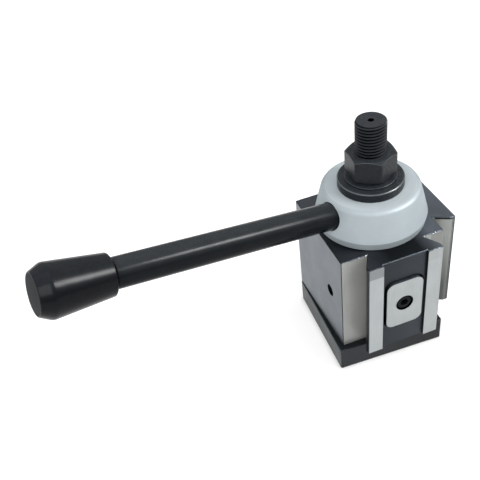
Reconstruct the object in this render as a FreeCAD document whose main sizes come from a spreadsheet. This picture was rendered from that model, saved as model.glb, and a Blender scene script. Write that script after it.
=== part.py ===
import FreeCAD, Part
import math
import os
import re
import Sketcher

# Piston type quick change tool post standing on its square T-nut blank, in
# millimetres. The clamping stud is the Z axis and the underside of the blank
# is Z = 0. The front dovetail looks along -Y, the side dovetail along +X and
# the handle points to the left. Swinging the handle turns a cam whose two
# spiral grooves push the front and side pistons out of their dovetails.

os.makedirs("parts", exist_ok=True)
doc = FreeCAD.newDocument("quick_change_tool_post")
sheet = doc.addObject("Spreadsheet::Sheet", "sizes")

DRIVING = [
    ("running_gap", 0.05, "radial clearance of shafts that turn or slide"),
    ("free_gap", 0.35, "clearance where two pieces pass without touching"),
    ("play", 0.1, "axial clearance of turning faces"),
    ("edge_break", 0.4, "small chamfer on machined edges"),

    ("blank_side", 61.6, "side of the square T-nut blank"),
    ("blank_thick", 14.8, "thickness of the blank"),
    ("blank_turn", -2.5, "angle of the blank under the post"),
    ("blank_shift", 1.6, "stud hole off the blank's centre, both ways"),
    ("blank_corner", 1.0, "corner radius of the blank"),

    ("stud_dia", 16.0, "clamping stud, thread outside diameter"),
    ("stud_free", 17.4, "free thread above the nut"),
    ("centre_mark_dia", 3.2, "centre drilling in the stud's top"),
    ("centre_mark_depth", 3.6, "depth of its straight part"),

    ("block_height", 62.3, "height of the dovetail block"),
    ("plain_reach", 30.75, "plain faces from the stud axis"),
    ("flange_reach", 27.75, "flange faces from the stud axis"),
    ("block_floor", 5.2, "floor under the cam bore"),
    ("stud_hole_gap", 0.5, "radial clearance of stud holes"),
    ("dovetail_half", 21.0, "half width over the dovetail's tips"),
    ("dovetail_height", 11.3, "dovetail lands above the flange face"),
    ("dovetail_blunt", 2.9, "straight side of each dovetail tip"),
    ("dovetail_angle", 60.0, "flank angle of the dovetail"),
    ("channel_margin", 1.1, "channel of the front dovetail beyond its piston pocket"),
    ("channel_depth", 1.5, "depth of that channel"),

    ("pad_width", 21.2, "width of a piston pad"),
    ("pad_tall", 32.0, "height of a piston pad"),
    ("pad_thick", 8.0, "thickness of a piston pad"),
    ("pad_corner", 4.5, "corner radius of a piston pad"),
    ("pad_gap", 0.8, "gap between a pad and its pocket"),
    ("pad_back_gap", 0.5, "gap behind a pad at rest"),
    ("plunger_dia", 16.0, "guided plunger behind a pad"),
    ("plunger_gap", 1.5, "round part of a plunger clear of the cam at rest"),
    ("tongue_half", 5.0, "half width of the plunger's tongue"),
    ("tongue_lift", 0.3, "tongue above the cam's grooved face"),
    ("pin_dia", 2.5, "follower pin"),
    ("tongue_wall", 0.4, "tongue beyond the follower pin"),
    ("pin_dip", 3.0, "pin reaching below the grooved face"),
    ("pin_tall", 7.9, "length of a follower pin"),

    ("screw_dia", 5.0, "pad screw, thread outside diameter"),
    ("screw_head_dia", 8.5, "pad screw head"),
    ("screw_head_tall", 5.0, "height of that head"),
    ("screw_tip_gap", 1.0, "tapped hole beyond the end of a pad screw"),
    ("screw_play", 0.15, "radial clearance of the screw in the pad"),
    ("socket_flats", 4.0, "hexagon sockets across the flats"),
    ("socket_depth", 2.6, "depth of the hexagon sockets"),
    ("seat_dia", 9.3, "counterbore for the pad screw head"),
    ("seat_depth", 5.4, "depth of that counterbore"),
    ("tapped_wall", 1.25, "plunger wall behind its tapped hole"),

    ("set_hole_dia", 7.0, "tapped hole in the plain left face"),
    ("set_hole_back", 13.0, "that hole towards the front from the axis"),
    ("set_hole_play", 0.1, "radial clearance of the screw in that hole"),
    ("set_screw_length", 7.2, "length of that screw without its dog point"),
    ("dog_dia", 3.6, "its dog point"),

    ("bush_wall", 1.25, "wall of the centre bush that carries the clamping load"),
    ("core_wall", 1.75, "wall of the cam's core"),
    ("cam_rim", 2.97, "cam outside the spiral grooves"),
    ("cam_face_lift", 2.7, "grooved face above the piston axes"),
    ("keep_depth", 1.9, "depth of the groove the dog point runs in"),
    ("keep_tall", 4.2, "height of that groove"),
    ("keep_lip", 1.05, "lip of the cam above that groove"),
    ("thrust_thick", 1.5, "thrust washer below the cam"),
    ("cam_lift", 1.8, "travel of a piston"),
    ("cam_swing", 65.0, "swing of the handle for that travel"),
    ("cam_side_gap", 0.08, "clearance of a pin in its spiral groove"),
    ("cam_groove_depth", 3.2, "depth of the spiral grooves"),

    ("hub_gap", 0.6, "hub above the block's top"),
    ("hub_tall", 21.3, "height of the hub above that gap"),
    ("hub_dia", 59.5, "largest diameter of the hub"),
    ("hub_band", 4.2, "height of the slanted band under that edge"),
    ("hub_band_slant", 0.8, "radial depth of that band"),
    ("hub_taper", 4.25, "radius lost from that edge to the virtual top edge"),
    ("hub_round", 3.0, "rounded shoulder of the hub"),
    ("skirt_gap", 0.7, "hub's skirt above the plungers"),

    ("handle_bearing", 192.6, "direction of the handle about Z"),
    ("handle_rise", 14.24, "rise of the handle"),
    ("handle_lift", 5.94, "its axis at the stud axis above the hub's underside"),
    ("rod_dia", 14.5, "handle rod"),
    ("rod_hole_gap", 0.4, "radial gap of the rod in the hub"),
    ("rod_sink", 4.75, "rod shoulder inside the hub's largest radius"),
    ("spigot_dia", 8.0, "rod spigot that keys the hub to the core"),
    ("rod_end", 149.0, "outer shoulder of the rod, where the knob starts"),
    ("rod_screw_dia", 10.0, "threaded end of the rod inside the knob"),
    ("rod_screw_reach", 18.0, "length of that end"),
    ("knob_length", 33.9, "length of the knob"),
    ("knob_step", 2.6, "knob outside the rod where they meet"),
    ("knob_flare", 2.67, "radius gained towards the knob's free end"),
    ("knob_slant", 5.6, "length of the knob's end chamfer"),
    ("knob_slant_depth", 2.8, "radial depth of that chamfer"),
    ("knob_bevel", 1.0, "bevel of the knob at the rod"),

    ("collar_dia", 34.7, "top collar"),
    ("collar_thick", 4.8, "thickness of the top collar"),
    ("nut_washer_dia", 27.1, "washer under the nut"),
    ("nut_washer_thick", 1.0, "thickness of that washer"),
    ("nut_flats", 23.2, "nut across the flats"),
    ("nut_boss_dia", 21.4, "washer face of the nut"),
    ("nut_boss_tall", 1.5, "height of that face"),
    ("nut_tall", 14.4, "height of the nut with its washer face"),
    ("nut_turn", 27.0, "angle of the nut's corners about Z"),
    ("nut_slant_dia", 22.4, "circle where the nut's corner chamfers start"),
    ("nut_slant", 30.0, "angle of those chamfers"),
    ("nut_mouth", 0.7, "countersink of the nut's thread"),
]

DERIVED = [
    ("stud_radius", "=stud_dia / 2"),
    ("land_reach", "=flange_reach + dovetail_height"),
    ("shoulder_reach", "=land_reach - dovetail_blunt"),
    ("neck_half", "=dovetail_half - (shoulder_reach - flange_reach) / tan(dovetail_angle)"),
    ("channel_reach", "=land_reach - channel_depth"),
    ("channel_half", "=pad_width / 2 + pad_gap + channel_margin"),
    ("pad_back", "=land_reach - pad_thick"),
    ("pocket_floor", "=pad_back - pad_back_gap"),
    ("piston_level", "=block_height / 2"),
    ("piston_height", "=blank_thick + piston_level"),
    ("bush_radius", "=stud_radius + running_gap + bush_wall"),
    ("bush_hole", "=bush_radius + free_gap"),
    ("core_radius", "=bush_hole + core_wall"),
    ("plunger_tip", "=core_radius + free_gap"),
    ("cam_start", "=plunger_tip + tongue_wall + pin_dia / 2"),
    ("cam_radius", "=cam_start + cam_lift + pin_dia / 2 + cam_side_gap + cam_rim"),
    ("keep_radius", "=cam_radius - keep_depth"),
    ("bore_radius", "=cam_radius + running_gap"),
    ("plunger_shoulder", "=cam_radius + plunger_gap"),
    ("tapped_depth", "=pad_back - plunger_shoulder - tapped_wall"),
    ("screw_reach", "=pad_thick - seat_depth + tapped_depth - screw_tip_gap"),
    ("floor_top", "=blank_thick + block_floor"),
    ("cam_base", "=floor_top + thrust_thick"),
    ("cam_face", "=piston_height + cam_face_lift"),
    ("cam_tall", "=cam_face - cam_base"),
    ("keep_level", "=cam_tall - keep_lip - keep_tall / 2"),
    ("set_height", "=cam_base + keep_level"),
    ("set_screw_radius", "=set_hole_dia / 2 - set_hole_play"),
    ("set_screw_near", "=set_hole_back - set_screw_radius"),
    ("set_screw_inner", "=sqrt((cam_radius + free_gap) ^ 2 - set_screw_near ^ 2)"),
    ("set_screw_outer", "=set_screw_inner + set_screw_length"),
    ("dog_near", "=set_hole_back - dog_dia / 2"),
    ("dog_tip", "=sqrt((keep_radius + free_gap) ^ 2 - dog_near ^ 2)"),
    ("block_top", "=blank_thick + block_height"),
    ("hub_base", "=block_top + hub_gap"),
    ("hub_top", "=hub_base + hub_tall"),
    ("skirt_base", "=piston_height + plunger_dia / 2 + skirt_gap"),
    ("handle_cross", "=hub_base + handle_lift"),
    ("rod_seat", "=hub_dia / 2 - rod_sink"),
    ("spigot_drop", "=spigot_dia / 2 * sin(handle_rise)"),
    ("spigot_tip", "=(bush_hole + play + spigot_drop) / cos(handle_rise)"),
    ("knob_small", "=rod_dia / 2 + knob_step"),
    ("knob_large", "=knob_small + knob_flare"),
    ("stack_base", "=hub_top + play"),
    ("washer_base", "=stack_base + collar_thick"),
    ("nut_base", "=washer_base + nut_washer_thick"),
    ("stud_top", "=nut_base + nut_tall + stud_free"),
    ("nut_radius", "=nut_flats / 2 / cos(30)"),
    ("socket_radius", "=socket_flats / 2 / cos(30)"),
]

for row, (alias, size, note) in enumerate(DRIVING, 1):
    sheet.set("A%d" % row, alias)
    sheet.set("B%d" % row, str(size))
    sheet.set("C%d" % row, note)
    sheet.setAlias("B%d" % row, alias)
doc.recompute()
for row, (alias, rule) in enumerate(DERIVED, len(DRIVING) + 1):
    sheet.set("A%d" % row, alias)
    sheet.set("B%d" % row, rule)
    sheet.setAlias("B%d" % row, alias)
    doc.recompute()

ALIASES = {entry[0] for entry in DRIVING + DERIVED}
bodies = []


def formula(rule):
    """Write a rule between named sizes as a document expression."""
    def name(match):
        word = match.group()
        return "sizes." + word if word in ALIASES else word
    return re.sub(r"[a-z][a-z_]+", name, str(rule))


def value(rule):
    """Present size of a rule, in millimetres or degrees."""
    return float(sheet.evalExpression(formula(rule)))


def new_body(label, height="0", turn="0"):
    """Body of one piece, standing at a height and turned about Z."""
    body = doc.addObject("PartDesign::Body", label)
    body.Label = label
    rule = "placement(vector(0; 0; %s); rotation(vector(0; 0; 1); %s))"
    body.setExpression("Placement", rule % (formula(height), formula(turn)))
    bodies.append(body)
    return body


def sketch_on(body, name, role, offset="0", turn="0"):
    """Sketch on an origin plane, moved along its normal and turned about its upright."""
    sketch = body.newObject("Sketcher::SketchObject", name)
    plane = [item for item in body.Origin.OriginFeatures if item.Role == role][0]
    sketch.AttachmentSupport = (plane, [""])
    sketch.MapMode = "FlatFace"
    rule = "placement(vector(0; 0; %s); rotation(vector(0; 1; 0); %s))"
    sketch.setExpression("AttachmentOffset", rule % (formula(offset), formula(turn)))
    return sketch


def pin_point(sketch, geometry, point, across, up):
    """Hold one point of a sketch at two named sizes from its origin."""
    for kind, axis, rule in (("DistanceX", -2, across), ("DistanceY", -1, up)):
        size = value(rule)
        if abs(size) < 1e-9:
            sketch.addConstraint(Sketcher.Constraint("PointOnObject", geometry, point, axis))
            continue
        hold = Sketcher.Constraint(kind, -1, 1, geometry, point, size)
        index = sketch.addConstraint(hold)
        sketch.setExpression("Constraints[%d]" % index, formula(rule))


def polygon(sketch, corners):
    """Closed outline through corners given as pairs of rules."""
    points = [FreeCAD.Vector(value(across), value(up), 0) for across, up in corners]
    first = sketch.GeometryCount
    for start, end in zip(points, points[1:] + points[:1]):
        sketch.addGeometry(Part.LineSegment(start, end))
    count = len(points)
    for step in range(count):
        joint = Sketcher.Constraint("Coincident", first + step, 2, first + (step + 1) % count, 1)
        sketch.addConstraint(joint)
    for step, (across, up) in enumerate(corners):
        pin_point(sketch, first + step, 1, across, up)


def box_outline(sketch, half_across, half_up, level="0", centre="0"):
    """Rectangle from its half sizes and centre."""
    low = "%s - (%s)" % (level, half_up)
    high = "%s + %s" % (level, half_up)
    left = "%s - (%s)" % (centre, half_across)
    right = "%s + %s" % (centre, half_across)
    polygon(sketch, [(left, low), (right, low), (right, high), (left, high)])


def circle(sketch, diameter, across="0", up="0"):
    """Circle with a named diameter and centre."""
    centre = FreeCAD.Vector(value(across), value(up), 0)
    ring = Part.Circle(centre, FreeCAD.Vector(0, 0, 1), value(diameter) / 2)
    index = sketch.addGeometry(ring)
    pin_point(sketch, index, 3, across, up)
    hold = sketch.addConstraint(Sketcher.Constraint("Diameter", index, value(diameter)))
    sketch.setExpression("Constraints[%d]" % hold, formula(diameter))


def hexagon(sketch, radius, level="0"):
    """Regular hexagon with a corner to the right."""
    corners = []
    for step in range(6):
        across = "%s * cos(%d)" % (radius, 60 * step)
        up = "%s * sin(%d) + %s" % (radius, 60 * step, level)
        corners.append((across, up))
    polygon(sketch, corners)


def extrude(body, kind, name, sketch, length, reverse=False):
    """Pad or Pocket of a sketch."""
    feature = body.newObject("PartDesign::" + kind, name)
    feature.Profile = sketch
    feature.Reversed = reverse
    feature.setExpression("Length", formula(length))
    doc.recompute()
    return feature


def turned(body, kind, name, sketch, axis="V_Axis"):
    """Revolution or Groove of a sketch about one of its own axes."""
    feature = body.newObject("PartDesign::" + kind, name)
    feature.Profile = sketch
    feature.ReferenceAxis = (sketch, [axis])
    feature.Angle = 360
    doc.recompute()
    return feature


def turned_piece(label, profile, height="0", turn="0"):
    """Round piece from a half profile of (radius, height) corners."""
    body = new_body(label, height, turn)
    sketch = sketch_on(body, label + "_profile", "XZ_Plane")
    polygon(sketch, profile)
    turned(body, "Revolution", label + "_turned", sketch)
    return body


def dress(body, kind, name, size, test):
    """Fillet or Chamfer on the edges of the body's tip that pass a test."""
    base = body.Tip
    names = []
    for number, edge in enumerate(base.Shape.Edges, 1):
        if test(edge):
            names.append("Edge%d" % number)
    if not names:
        raise RuntimeError("no edge found for " + name)
    feature = body.newObject("PartDesign::" + kind, name)
    feature.Base = (base, names)
    rule = "Radius" if kind == "Fillet" else "Size"
    feature.setExpression(rule, formula(size))
    doc.recompute()
    return feature


def quarter_turn(body, name, features):
    """Repeat features of the front dovetail on the side dovetail."""
    pattern = body.newObject("PartDesign::PolarPattern", name)
    pattern.Originals = features
    upright = [item for item in body.Origin.OriginFeatures if item.Role == "Z_Axis"][0]
    pattern.Axis = (upright, [""])
    pattern.Angle = 90
    pattern.Occurrences = 2
    body.Tip = pattern
    doc.recompute()
    return pattern


def near(first, second, limit=0.01):
    return abs(first - second) < limit


def ends(edge):
    return [vertex.Point for vertex in edge.Vertexes]


def upright(edge):
    """Straight edge parallel to Z."""
    points = ends(edge)
    if len(points) != 2:
        return False
    run = points[1] - points[0]
    return near(run.x, 0) and near(run.y, 0) and abs(run.z) > 0.01


def level_edge(edge, height):
    """Edge that lies in one horizontal plane."""
    box = edge.BoundBox
    return near(box.ZMin, height) and near(box.ZMax, height)


def ring_edge(edge, radius, height):
    """Full circle about Z with a given radius and height."""
    curve = edge.Curve
    if not isinstance(curve, Part.Circle) or not edge.isClosed():
        return False
    return near(curve.Radius, radius) and near(curve.Center.z, height)


# T-nut blank: a plain square plate, turned a little under the post.
blank = new_body("tnut_blank", turn="blank_turn")
outline = sketch_on(blank, "blank_outline", "XY_Plane")
box_outline(outline, "blank_side / 2", "blank_side / 2", "-blank_shift", "-blank_shift")
extrude(blank, "Pad", "blank_plate", outline, "blank_thick")
dress(blank, "Fillet", "blank_corners", "blank_corner", upright)
dress(blank, "Chamfer", "blank_edges", "edge_break", lambda edge: near(edge.BoundBox.ZMin, edge.BoundBox.ZMax))
bore = sketch_on(blank, "blank_bore_circle", "XY_Plane", "blank_thick")
circle(bore, "stud_dia")
extrude(blank, "Pocket", "blank_bore", bore, "blank_thick")

# Clamping stud with a centre drilling in its top.
turned_piece("stud", [
    ("0", "0"),
    ("stud_radius - edge_break", "0"),
    ("stud_radius", "edge_break"),
    ("stud_radius", "stud_top - edge_break"),
    ("stud_radius - edge_break", "stud_top"),
    ("centre_mark_dia / 2", "stud_top"),
    ("centre_mark_dia / 2", "stud_top - centre_mark_depth"),
    ("0", "stud_top - centre_mark_depth - centre_mark_dia / 2 * tan(30)"),
])

# Dovetail block. Each corner of the outline says whether its edge is broken.
block = new_body("post_block", height="blank_thick")


def dovetail_corners(forward):
    """Corners of one dovetail from neck to neck; only the front one has a channel."""
    side = [
        ("neck_half", "flange_reach", False),
        ("dovetail_half", "shoulder_reach", True),
        ("dovetail_half", "land_reach", True),
    ]
    if forward:
        side += [("channel_half", "land_reach", False), ("channel_half", "channel_reach", False)]
    corners = [("-" + across, reach, broken) for across, reach, broken in side]
    corners += [(across, reach, broken) for across, reach, broken in reversed(side)]
    if forward:
        return [(across, "-" + reach, broken) for across, reach, broken in corners]
    return [(reach, across, broken) for across, reach, broken in corners]


block_corners = [("-plain_reach", "plain_reach", True), ("-plain_reach", "-flange_reach", True)]
block_corners += dovetail_corners(True)
block_corners += [("flange_reach", "-flange_reach", True)]
block_corners += dovetail_corners(False)
block_corners += [("flange_reach", "plain_reach", True)]
outline = sketch_on(block, "block_outline", "XY_Plane")
polygon(outline, [(across, up) for across, up, broken in block_corners])
extrude(block, "Pad", "block_solid", outline, "block_height")
broken_corners = [(value(across), value(up)) for across, up, broken in block_corners if broken]


def broken_upright(edge):
    if not upright(edge):
        return False
    place = ends(edge)[0]
    return any(near(place.x, x) and near(place.y, y) for x, y in broken_corners)


def block_rim(edge):
    return level_edge(edge, value("block_height")) or level_edge(edge, 0)


dress(block, "Chamfer", "block_upright_edges", "edge_break", broken_upright)
dress(block, "Chamfer", "block_rims", "edge_break", block_rim)

# Stepped bore for the cam, with a stud hole through the floor.
section = sketch_on(block, "cam_bore_profile", "XZ_Plane")
polygon(section, [
    ("0", "0"),
    ("stud_radius + stud_hole_gap", "0"),
    ("stud_radius + stud_hole_gap", "block_floor"),
    ("bore_radius", "block_floor"),
    ("bore_radius", "block_height"),
    ("0", "block_height"),
])
turned(block, "Groove", "cam_bore", section)

# Pocket and bore for one piston, repeated on the side dovetail.
outline = sketch_on(block, "piston_pocket_outline", "XZ_Plane", "land_reach")
box_outline(outline, "(pad_width / 2 + pad_gap)", "(pad_tall / 2 + pad_gap)", "piston_level")
pocket = extrude(block, "Pocket", "piston_pocket", outline, "land_reach - pocket_floor")
ring = sketch_on(block, "piston_bore_circle", "XZ_Plane", "pocket_floor")
circle(ring, "plunger_dia + 2 * running_gap", "0", "piston_level")
barrel = extrude(block, "Pocket", "piston_bore", ring, "pocket_floor - plunger_tip")
quarter_turn(block, "both_pistons", [pocket, barrel])


def pocket_corner(edge):
    """Deep corner edge of a piston pocket."""
    points = ends(edge)
    if len(points) != 2:
        return False
    run = points[1] - points[0]
    rise = abs(points[0].z - value("piston_level"))
    if abs(run.z) > 0.01 or not near(rise, value("pad_tall / 2 + pad_gap")):
        return False
    across = points[0].x if abs(run.y) > 0.01 else points[0].y
    return near(abs(across), value("pad_width / 2 + pad_gap"))


dress(block, "Fillet", "pocket_corners", "pad_corner + pad_gap", pocket_corner)

# Tapped hole of the retaining screw in the plain left face.
ring = sketch_on(block, "set_hole_circle", "YZ_Plane", "-plain_reach")
circle(ring, "set_hole_dia", "-set_hole_back", "set_height - blank_thick")
extrude(block, "Pocket", "set_hole", ring, "plain_reach - dog_tip", reverse=True)

# Bush that carries the clamping load past the cam.
turned_piece("centre_bush", [
    ("stud_radius + running_gap", "0"),
    ("bush_radius", "0"),
    ("bush_radius", "stack_base - floor_top"),
    ("stud_radius + running_gap", "stack_base - floor_top"),
], "floor_top")

turned_piece("cam_thrust_washer", [
    ("bush_hole", "0"),
    ("bore_radius - free_gap", "0"),
    ("bore_radius - free_gap", "thrust_thick"),
    ("bush_hole", "thrust_thick"),
], "floor_top")

# Cam: grooved drum with a keeping groove round it and a core through the hub.
cam = turned_piece("cam_sleeve", [
    ("bush_hole", "0"),
    ("cam_radius", "0"),
    ("cam_radius", "keep_level - keep_tall / 2"),
    ("keep_radius", "keep_level - keep_tall / 2"),
    ("keep_radius", "keep_level + keep_tall / 2"),
    ("cam_radius", "keep_level + keep_tall / 2"),
    ("cam_radius", "cam_tall"),
    ("core_radius", "cam_tall"),
    ("core_radius", "hub_top - play - cam_base"),
    ("bush_hole", "hub_top - play - cam_base"),
], "cam_base")


def spiral_edge(shift):
    """One edge of the groove: the pin path moved sideways by a shift."""
    start = value("cam_start")
    swing = math.radians(value("cam_swing"))
    rate = value("cam_lift") / swing
    steps = 4
    points = []
    for step in range(steps + 1):
        angle = swing * step / steps
        radius = start + rate * angle
        bearing = angle - math.pi / 2
        outward = FreeCAD.Vector(math.cos(bearing), math.sin(bearing), 0)
        along = FreeCAD.Vector(-math.sin(bearing), math.cos(bearing), 0)
        side = (outward * radius - along * rate).normalize()
        points.append(outward * radius + side * shift)
    return points


def spiral_groove(sketch):
    """Archimedean groove with round ends that are the stops of the swing."""
    half = value("pin_dia / 2 + cam_side_gap")
    inner = spiral_edge(-half)
    outer = spiral_edge(half)
    middle = spiral_edge(0)
    for points in (inner, outer):
        curve = Part.BSplineCurve()
        curve.interpolate(points)
        sketch.addGeometry(curve)
    for place, sense in ((0, -1), (-1, 1)):
        side = outer[place] - inner[place]
        beyond = FreeCAD.Vector(-side.y, side.x, 0).normalize() * sense * half
        arc = Part.Arc(inner[place], middle[place] + beyond, outer[place])
        sketch.addGeometry(arc)


path = sketch_on(cam, "spiral_path", "XY_Plane", "cam_tall")
spiral_groove(path)
groove = extrude(cam, "Pocket", "spiral_groove", path, "cam_groove_depth")
quarter_turn(cam, "both_spirals", [groove])


def along_handle(distance, aside):
    """Point in the handle's upright plane, from distance along and beside its axis."""
    across = "(%s) * cos(handle_rise) - (%s) * sin(handle_rise)" % (distance, aside)
    up = "handle_cross + (%s) * sin(handle_rise) + (%s) * cos(handle_rise)" % (distance, aside)
    return across, up


def handle_hole(body, name, steps, base):
    """Stepped hole on the handle's axis, from (radius, start, end) steps."""
    sketch = sketch_on(body, name + "_profile", "XZ_Plane", turn="handle_bearing")
    corners = [(steps[0][1], "0")]
    for radius, start, end in steps:
        corners += [(start, radius), (end, radius)]
    corners.append((steps[-1][2], "0"))
    rules = []
    for distance, aside in corners:
        across, up = along_handle(distance, aside)
        rules.append((across, "%s - %s" % (up, base)))
    polygon(sketch, rules)
    axis = Part.LineSegment(FreeCAD.Vector(0, value("handle_cross - " + base), 0),
                            FreeCAD.Vector(value(rules[0][0]), value(rules[0][1]), 0))
    index = sketch.addGeometry(axis, True)
    pin_point(sketch, index, 1, "0", "handle_cross - " + base)
    sketch.addConstraint(Sketcher.Constraint("Coincident", index, 2, 0, 1))
    return turned(body, "Groove", name, sketch, "Axis0")


handle_hole(cam, "core_hole", [("spigot_dia / 2", "stud_radius", "cam_radius")], "cam_base")

# Hub: cone with a rounded shoulder, a slanted band below and a skirt in the bore.
hub = turned_piece("handle_hub", [
    ("core_radius", "0"),
    ("cam_radius", "0"),
    ("cam_radius", "hub_base - skirt_base"),
    ("hub_dia / 2 - hub_band_slant", "hub_base - skirt_base"),
    ("hub_dia / 2", "hub_base + hub_band - skirt_base"),
    ("hub_dia / 2 - hub_taper", "hub_top - skirt_base"),
    ("core_radius", "hub_top - skirt_base"),
], "skirt_base")
dress(hub, "Fillet", "hub_shoulder", "hub_round",
      lambda edge: ring_edge(edge, value("hub_dia / 2 - hub_taper"), value("hub_top - skirt_base")))
handle_hole(hub, "rod_hole", [
    ("spigot_dia / 2", "stud_radius", "rod_seat"),
    ("rod_dia / 2 + rod_hole_gap", "rod_seat", "hub_dia"),
], "skirt_base")

# Handle rod and knob, both turned about the handle's own axis.
HANDLE_PLACE = ("placement(vector(0; 0; %s); rotation(vector(0; 0; 1); %s)"
                " * rotation(vector(0; 1; 0); 90 - %s))"
                % (formula("handle_cross"), formula("handle_bearing"), formula("handle_rise")))
rod = turned_piece("handle_rod", [
    ("0", "spigot_tip"),
    ("spigot_dia / 2", "spigot_tip"),
    ("spigot_dia / 2", "rod_seat"),
    ("rod_dia / 2", "rod_seat"),
    ("rod_dia / 2", "rod_end"),
    ("rod_screw_dia / 2", "rod_end"),
    ("rod_screw_dia / 2", "rod_end + rod_screw_reach"),
    ("0", "rod_end + rod_screw_reach"),
])
knob = turned_piece("handle_knob", [
    ("rod_screw_dia / 2", "rod_end"),
    ("knob_small - knob_bevel", "rod_end"),
    ("knob_small", "rod_end + knob_bevel"),
    ("knob_large", "rod_end + knob_length - knob_slant"),
    ("knob_large - knob_slant_depth", "rod_end + knob_length"),
    ("0", "rod_end + knob_length"),
    ("0", "rod_end + rod_screw_reach + play"),
    ("rod_screw_dia / 2", "rod_end + rod_screw_reach + play"),
])
for piece in (rod, knob):
    piece.setExpression("Placement", HANDLE_PLACE)

# Pistons: the same four pieces serve the front and the side dovetail.
for side, turn in (("front", "0"), ("side", "90")):
    pad = new_body(side + "_pad", "piston_height", turn)
    outline = sketch_on(pad, side + "_pad_outline", "XZ_Plane", "pad_back")
    box_outline(outline, "pad_width / 2", "pad_tall / 2")
    extrude(pad, "Pad", side + "_pad_slab", outline, "pad_thick")
    dress(pad, "Fillet", side + "_pad_corners", "pad_corner",
          lambda edge: near(edge.BoundBox.YLength, value("pad_thick")))
    ring = sketch_on(pad, side + "_pad_hole_circle", "XZ_Plane", "land_reach")
    circle(ring, "screw_dia + 2 * screw_play")
    extrude(pad, "Pocket", side + "_pad_hole", ring, "pad_thick")
    ring = sketch_on(pad, side + "_pad_seat_circle", "XZ_Plane", "land_reach")
    circle(ring, "seat_dia")
    extrude(pad, "Pocket", side + "_pad_seat", ring, "seat_depth")

    screw = new_body(side + "_pad_screw", "piston_height", turn)
    ring = sketch_on(screw, side + "_screw_head_circle", "XZ_Plane", "land_reach - seat_depth")
    circle(ring, "screw_head_dia")
    extrude(screw, "Pad", side + "_screw_head", ring, "screw_head_tall")
    ring = sketch_on(screw, side + "_screw_shank_circle", "XZ_Plane", "land_reach - seat_depth")
    circle(ring, "screw_dia")
    extrude(screw, "Pad", side + "_screw_shank", ring, "screw_reach", reverse=True)
    hexes = sketch_on(screw, side + "_screw_socket_hexagon", "XZ_Plane",
                      "land_reach - seat_depth + screw_head_tall")
    hexagon(hexes, "socket_radius")
    extrude(screw, "Pocket", side + "_screw_socket", hexes, "socket_depth")
    dress(screw, "Chamfer", side + "_screw_head_edge", "edge_break",
          lambda edge: edge.isClosed() and near(edge.Curve.Radius, value("screw_head_dia / 2"))
          and near(-edge.Curve.Center.y, value("land_reach - seat_depth + screw_head_tall")))

    plunger = new_body(side + "_plunger", "piston_height", turn)
    ring = sketch_on(plunger, side + "_plunger_circle", "XZ_Plane", "plunger_tip")
    circle(ring, "plunger_dia")
    extrude(plunger, "Pad", side + "_plunger_bar", ring, "pad_back - plunger_tip")
    under = "cam_face + tongue_lift - piston_height"
    outline = sketch_on(plunger, side + "_tongue_outline", "XZ_Plane", "plunger_shoulder")
    polygon(outline, [
        ("-plunger_dia", "-plunger_dia"),
        ("plunger_dia", "-plunger_dia"),
        ("plunger_dia", "plunger_dia"),
        ("tongue_half", "plunger_dia"),
        ("tongue_half", under),
        ("-tongue_half", under),
        ("-tongue_half", "plunger_dia"),
        ("-plunger_dia", "plunger_dia"),
    ])
    extrude(plunger, "Pocket", side + "_tongue_relief", outline, "plunger_shoulder - plunger_tip")
    ring = sketch_on(plunger, side + "_tapped_circle", "XZ_Plane", "pad_back")
    circle(ring, "screw_dia")
    extrude(plunger, "Pocket", side + "_tapped_hole", ring, "tapped_depth")
    ring = sketch_on(plunger, side + "_pin_hole_circle", "XY_Plane", "plunger_dia / 2")
    circle(ring, "pin_dia", "0", "-cam_start")
    extrude(plunger, "Pocket", side + "_pin_hole", ring, "plunger_dia / 2 - (%s)" % under)

    pin = new_body(side + "_follower_pin", "cam_face - pin_dip", turn)
    ring = sketch_on(pin, side + "_pin_circle", "XY_Plane")
    circle(ring, "pin_dia", "0", "-cam_start")
    extrude(pin, "Pad", side + "_pin_bar", ring, "pin_tall")

# Retaining screw whose dog point keeps the cam down.
keeper = new_body("cam_retaining_screw", "set_height")
ring = sketch_on(keeper, "keeper_circle", "YZ_Plane", "-set_screw_outer")
circle(ring, "2 * set_screw_radius", "-set_hole_back")
extrude(keeper, "Pad", "keeper_bar", ring, "set_screw_length")
ring = sketch_on(keeper, "dog_circle", "YZ_Plane", "-set_screw_inner")
circle(ring, "dog_dia", "-set_hole_back")
extrude(keeper, "Pad", "keeper_dog", ring, "set_screw_inner - dog_tip")
hexes = sketch_on(keeper, "keeper_socket_hexagon", "YZ_Plane", "-set_screw_outer")
corner_list = []
for step in range(6):
    corner_list.append(("socket_radius * cos(%d) - set_hole_back" % (60 * step),
                        "socket_radius * sin(%d)" % (60 * step)))
polygon(hexes, corner_list)
extrude(keeper, "Pocket", "keeper_socket", hexes, "socket_depth", reverse=True)

# Clamping stack on top of the hub.
collar = turned_piece("top_collar", [
    ("stud_radius + stud_hole_gap", "0"),
    ("collar_dia / 2", "0"),
    ("collar_dia / 2", "collar_thick - edge_break"),
    ("collar_dia / 2 - edge_break", "collar_thick"),
    ("stud_radius + stud_hole_gap", "collar_thick"),
], "stack_base")
turned_piece("nut_washer", [
    ("stud_radius + stud_hole_gap", "0"),
    ("nut_washer_dia / 2", "0"),
    ("nut_washer_dia / 2", "nut_washer_thick"),
    ("stud_radius + stud_hole_gap", "nut_washer_thick"),
], "washer_base")

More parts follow.
